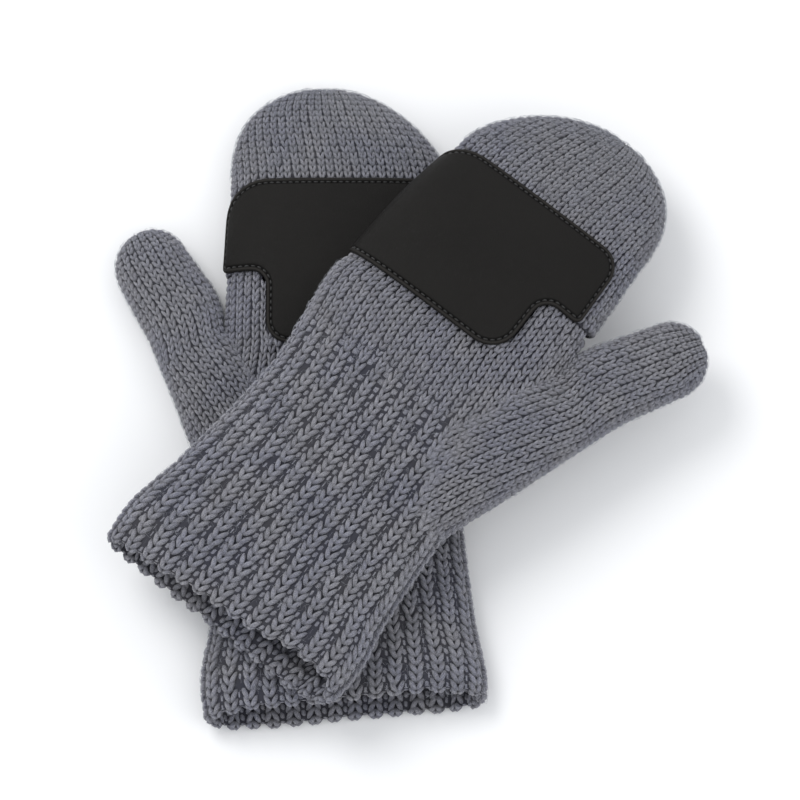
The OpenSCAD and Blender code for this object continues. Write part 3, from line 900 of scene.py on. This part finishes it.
    def wallStays(points):
        back = points.copy()
        back[:, 1] = 184
        inTube = np.zeros(len(points), bool)
        for table in tables.values():
            inTube |= insideRows(table, back, -1.0)
        return insideRows(sleeveTable, points, -0.6) & ~inTube
    mesh = sheetMesh(90, 20, wallSpot, wallStays, closed=False, thick=-1.0)
    # the wall wears the painted-shade wool of the sheets under the stitches
    addPiece(side + "_knuckle_wall", inRow(mesh), finish["under"], side, mitten, "wool_knit")

    # loose fibres
    palmFace = lambda points: (points[:, 1] > 4) & (points[:, 1] < 166) & outsideThumb(points)
    hairs = [fuzz(sleeve, hair["palm"], 4, 168, palmFace),
             fuzz(thumbSurface, hair["thumb"], 130, thumbSurface.v[-1] - 4, outsideHand)]
    addPiece(side + "_mitten_fuzz", overWeb(joined(hairs)), finish["fibre"], side, mitten, "wool_knit")

    def bare(points):
        x, y, z = points.T
        patched = (x > cut["pinky"] - 3) & (x < cut["right"] + 3) & (y < cut["top"] + 3) & (z > 6)
        return flapStays(points, 5) & ~patched

    mesh = fuzz(flapSurface, hair["flap"], 180, length - 3, bare)
    addPiece(side + "_flap_fuzz", inRow(mesh), finish["fibre"], side, flapBody, "wool_knit")
    buildPatch(side, flapSurface, flapBody, inRow)
    buildSeam(side, inRow)
    print(side, "mitten knitted")


# ---- loose fibres that stand off the wool ----

hair = {"radius": 0.055, "short": 2.2, "long": 6.5, "bow": 0.75, "palm": 2600, "thumb": 1300, "flap": 3400}


def hairUnit():
    bm = bmesh.new()
    uv = bm.loops.layers.uv.new("OFBake")
    bmesh.ops.create_cone(bm, segments=3, radius1=1, radius2=0.4, depth=1, cap_ends=False)
    for z in (-0.25, 0, 0.25):
        bmesh.ops.bisect_plane(bm, geom=bm.verts[:] + bm.edges[:] + bm.faces[:], plane_co=(0, 0, z),
                               plane_no=(0, 0, 1))
    for face in bm.faces:
        middle = face.calc_center_median()
        facing = math.atan2(middle.y, middle.x)
        for loop in face.loops:
            x, y, z = loop.vert.co
            off = (math.atan2(y, x) - facing + math.pi) % (2 * math.pi) - math.pi
            third = round((facing + math.pi) / 2.0944) % 3
            loop[uv].uv = ((third + 0.5 + 0.4 * off) / 3, z + 0.5)
    return meshOf(bm, "hair")


def fuzz(surface, count, begin, end, keep):
    p, v = rng.random(count * 3), begin + (end - begin) * rng.random(count * 3)
    root, out = surface.at(p, v)
    good = np.nonzero(keep(root) & (out[:, 2] > -0.25))[0][:count]
    root, out, number = root[good], out[good], len(good)
    mesh = repeated(hairUnit(), number, 1)
    co = getCo(mesh)
    n = np.arange(len(co)) // (len(co) // number)
    t = co[:, 2:] + 0.5
    lie = np.cross(out, rng.normal(0, 1, (number, 3)))
    lie /= np.linalg.norm(lie, axis=1, keepdims=True)
    aside = np.cross(out, lie)
    long = hair["short"] + (hair["long"] - hair["short"]) * rng.random((number, 1)) ** 2
    bow, curl = hair["bow"] * (0.3 + 0.7 * rng.random((number, 1))), rng.normal(0, 0.3, (number, 1))
    cross = np.stack([co[:, 0] - n, co[:, 1]], 1) * hair["radius"]
    spot = (root[n] + out[n] * (0.05 + 4 * bow[n] * t * (1 - t) - 0.5 * t) + lie[n] * long[n] * (t - 0.5)
            + aside[n] * long[n] * curl[n] * np.sin(3.1 * t)
            + aside[n] * cross[:, :1] + out[n] * cross[:, 1:])
    setCo(mesh, spot)
    wide = math.ceil(math.sqrt(number))
    mapCells(mesh, n, wide, wide)
    return mesh


# ---- the leather patch ----

patch = {
    "thick": 1.5, "seam": 2.2, "stitch": 2.3, "gap": 0.9, "thread": 0.38, "measured": 205.0,
    "insets": (0.25, 0.35, 0.5, 0.6, 0.5, 0.5, 0.6),
}


def patchMesh(cut, notchX, arcOf):
    # drawn flat: x is the distance round the flap from the middle of the palm
    left, right, notchX = arcOf(cut["pinky"]), arcOf(cut["right"]), arcOf(notchX)
    low, top = cut["low"], cut["top"]
    bm = bmesh.new()
    spots = [(left, low, 6), (notchX, low, cut["near"]), (notchX, cut["notch"], 8), (right, cut["notch"], 4),
             (right, top, cut["far"]), (left, top, cut["big"])]
    verts = [bm.verts.new((x, y, 0)) for x, y, r in spots]
    bm.faces.new(verts)
    for v, (x, y, r) in zip(verts, spots):
        bmesh.ops.bevel(bm, geom=[v], offset=r, offset_type="OFFSET", affect="VERTICES", segments=8,
                        profile=0.5, material=-1)
    rim = bm.verts.layers.float.new("rim")
    depth, ring = 0.0, []
    for step in patch["insets"]:
        inner = max(bm.faces, key=lambda f: f.calc_area())
        bmesh.ops.inset_region(bm, faces=[inner], thickness=step, use_boundary=True, use_even_offset=True)
        depth += step
        inner = max(bm.faces, key=lambda f: f.calc_area())
        for v in inner.verts:
            v[rim] = depth
        if abs(depth - patch["seam"]) < 0.01:
            ring = [v.co.copy() for v in inner.verts]
    inner = max(bm.faces, key=lambda f: f.calc_area())
    for v in inner.verts:
        v[rim] = depth
    for axis, lo, hi in ((0, left, right), (1, low, top)):
        for at in np.arange(lo + 2.3, hi - 1, 2.5):
            normal = (1 - axis, axis, 0)
            bmesh.ops.bisect_plane(bm, geom=bm.verts[:] + bm.edges[:] + bm.faces[:], dist=1e-5,
                                   plane_co=[at * n for n in normal], plane_no=normal)
    skirt = bmesh.ops.extrude_edge_only(bm, edges=[e for e in bm.edges if e.is_boundary])["geom"]
    for v in skirt:                         # the cut edge, down to the knit
        if isinstance(v, bmesh.types.BMVert):
            v[rim] = -1
    return bm, ring


def buildPatch(side, surface, body, inRow):
    probe = np.linspace(0.24, 0.76, 400)
    xs = surface.at(probe, np.full(400, patch["measured"]))[0][:, 0]
    girth = float(surface.girthAt(patch["measured"]))
    arcOf = lambda x: float(np.interp(x, xs, (probe - 0.5) * girth))
    bm, ring = patchMesh(sides[side]["patch"], sides[side]["notchX"], arcOf)

    def wrapped(flat, h):
        d = surface.v[0] + (flat[:, 1] - 167)
        p = 0.5 + flat[:, 0] / girth
        at, out = surface.at(p, d)
        return at + out * h[:, None]

    mesh = meshOf(bm, "patch")
    flat = getCo(mesh)
    depth = np.empty(len(flat))
    mesh.attributes["rim"].data.foreach_get("value", depth)
    # a turned edge, a furrow along the stitches, and a little fullness inside it
    height = patch["thick"] * (0.3 + 0.75 * np.sqrt(np.clip(1 - (1 - np.clip(depth / 1.1, 0, 1)) ** 2, 0, 1)))
    height -= 1.0 * np.exp(-((depth - patch["seam"]) / 0.55) ** 2)
    height += 0.12 * ease((depth - 2.6) / 0.7) * np.sin(flat[:, 0] * 0.11) * np.cos(flat[:, 1] * 0.13)
    height = np.where(depth < 0, -0.6, height)
    setCo(mesh, wrapped(flat, height))
    # the rim value that paints light into the leather's colour: positive on the welt for a painted highlight,
    # negative in the furrow for painted shade
    welt = np.exp(-((depth - 1.0) / 0.6) ** 2) - 1.2 * np.exp(-((depth - patch["seam"]) / 0.5) ** 2)
    mesh.attributes["rim"].data.foreach_set("value", welt)

    def faceOut(bm):
        bmesh.ops.recalc_face_normals(bm, faces=bm.faces)
        if sum(f.normal.z for f in bm.faces) < 0:
            bmesh.ops.reverse_faces(bm, faces=bm.faces)
        for f in bm.faces:
            f.smooth = True

    edited(mesh, faceOut)
    addPiece(side + "_patch_leather", inRow(mesh), finish["leather"], side, body, "palm_leather",
             side + "_palm_patch")

    # running stitches round the furrow
    loop = np.array([tuple(c) for c in ring] + [tuple(ring[0])])
    run = np.append(0, np.cumsum(np.linalg.norm(np.diff(loop, axis=0), axis=1)))
    step = patch["stitch"] + patch["gap"]
    count = int(run[-1] / step)
    unit = barUnit(False)
    mesh = repeated(unit, count, 1)
    co = getCo(mesh)
    each = len(unit.vertices)
    n = np.arange(len(co)) // each
    along = co[:, 1] * patch["stitch"] / 2
    here = (n + 0.5) * run[-1] / count + along
    x, y = (np.interp(np.mod(here, run[-1]), run, loop[:, k]) for k in (0, 1))
    ahead = [np.interp(np.mod(here + 0.2, run[-1]), run, loop[:, k]) for k in (0, 1)]
    tx, ty = ahead[0] - x, ahead[1] - y
    size = np.hypot(tx, ty) + 1e-9
    off = (co[:, 0] - n) * patch["thread"] * 1.1
    flatSpots = np.stack([x - ty / size * off, y + tx / size * off], 1)
    lift = patch["thick"] - 0.65 + co[:, 2] * patch["thread"] - 0.3 * co[:, 1] ** 2
    setCo(mesh, wrapped(flatSpots, lift))
    edited(mesh, lambda bm: bmesh.ops.recalc_face_normals(bm, faces=bm.faces))
    addPiece(side + "_patch_thread", inRow(mesh), finish["thread"], side, body, "black_thread",
             side + "_patch_stitching")


# ---- the hinge: a row of yarn stitches from the hand's back to the flap ----

seam = {"wide": 76, "pitch": 2.6, "reach": 2.2, "thick": 0.75, "y": 175.9}


def buildSeam(side, inRow):
    count = round(seam["wide"] / seam["pitch"])
    mesh = repeated(barUnit(True), count, 1)
    co = getCo(mesh)
    each = len(co) // count
    n = np.arange(len(co)) // each
    middle = hand["middle"] + (n + 0.5 - count / 2) * seam["pitch"]
    x = middle + (co[:, 0] - n) * 1.1 + co[:, 1] * 0.5
    spots = np.stack([x, seam["y"] + co[:, 1] * seam["reach"], 1.05 + co[:, 2] * seam["thick"]], 1)
    setCo(mesh, spots)
    obj = addPiece(side + "_hinge_yarn", inRow(mesh), finish["stitch"], side, None, "wool_knit",
                   side + "_hinge_seam")
    ends = toRow(side, np.array([[0, seam["y"] - 1.6, 1.0], [0, seam["y"] + 1.6, 1.0]]))
    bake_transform(obj)


for side in sides:
    buildHand(side)


# ---- floor, light and camera ----

studio = {
    "centre": (0.0227, 0.0005, 0.02), "elevation": 79.0, "distance": 2.4, "field": 0.3765, "floor": 0.93,
    "air": (0.95, 0.97, 1.0, 1), "glow": 0.92, "sensor": 36,
}

bm = bmesh.new()
bmesh.ops.create_grid(bm, x_segments=1, y_segments=1, size=3)
floor = bpy.data.objects.new("floor", meshOf(bm, "floor"))
floor.location.z = -0.0003
bpy.context.scene.collection.objects.link(floor)
paper = Finish("paper", Roughness=0.9, Specular_IOR_Level=0.1)
paper.shader.inputs["Base Color"].default_value = (studio["floor"],) * 3 + (1,)
floor.data.materials.append(paper.material)


def softbox(name, place, aim, size, power):
    lamp = bpy.data.lights.new(name, "AREA")
    lamp.shape, lamp.size, lamp.energy = "DISK", size, power
    obj = bpy.data.objects.new(name, lamp)
    obj.location = place
    obj.rotation_euler = (Vector(aim) - Vector(place)).to_track_quat("-Z", "Y").to_euler()
    bpy.context.scene.collection.objects.link(obj)


softbox("key", (-0.7, 0.7, 1.5), (0.02, 0, 0), 0.9, 12)
softbox("fill", (1.2, -0.5, 1.3), (0.02, 0, 0), 1.2, 3)
world = bpy.data.worlds.new("studio")
world.use_nodes = True
world.node_tree.nodes["Background"].inputs[0].default_value = studio["air"]
world.node_tree.nodes["Background"].inputs[1].default_value = studio["glow"]
bpy.context.scene.world = world
bpy.context.scene.view_settings.view_transform = "Standard"

camera = bpy.data.cameras.new("camera")
camera.sensor_width = studio["sensor"]
camera.lens = studio["sensor"] * studio["distance"] / studio["field"]
camera.clip_end = 10
eye = bpy.data.objects.new("camera", camera)
tilt = math.radians(studio["elevation"])
eye.location = Vector(studio["centre"]) + studio["distance"] * Vector((0, -math.cos(tilt), math.sin(tilt)))
eye.rotation_euler = (math.pi / 2 - tilt, 0, 0)
bpy.context.scene.collection.objects.link(eye)
bpy.context.scene.camera = eye
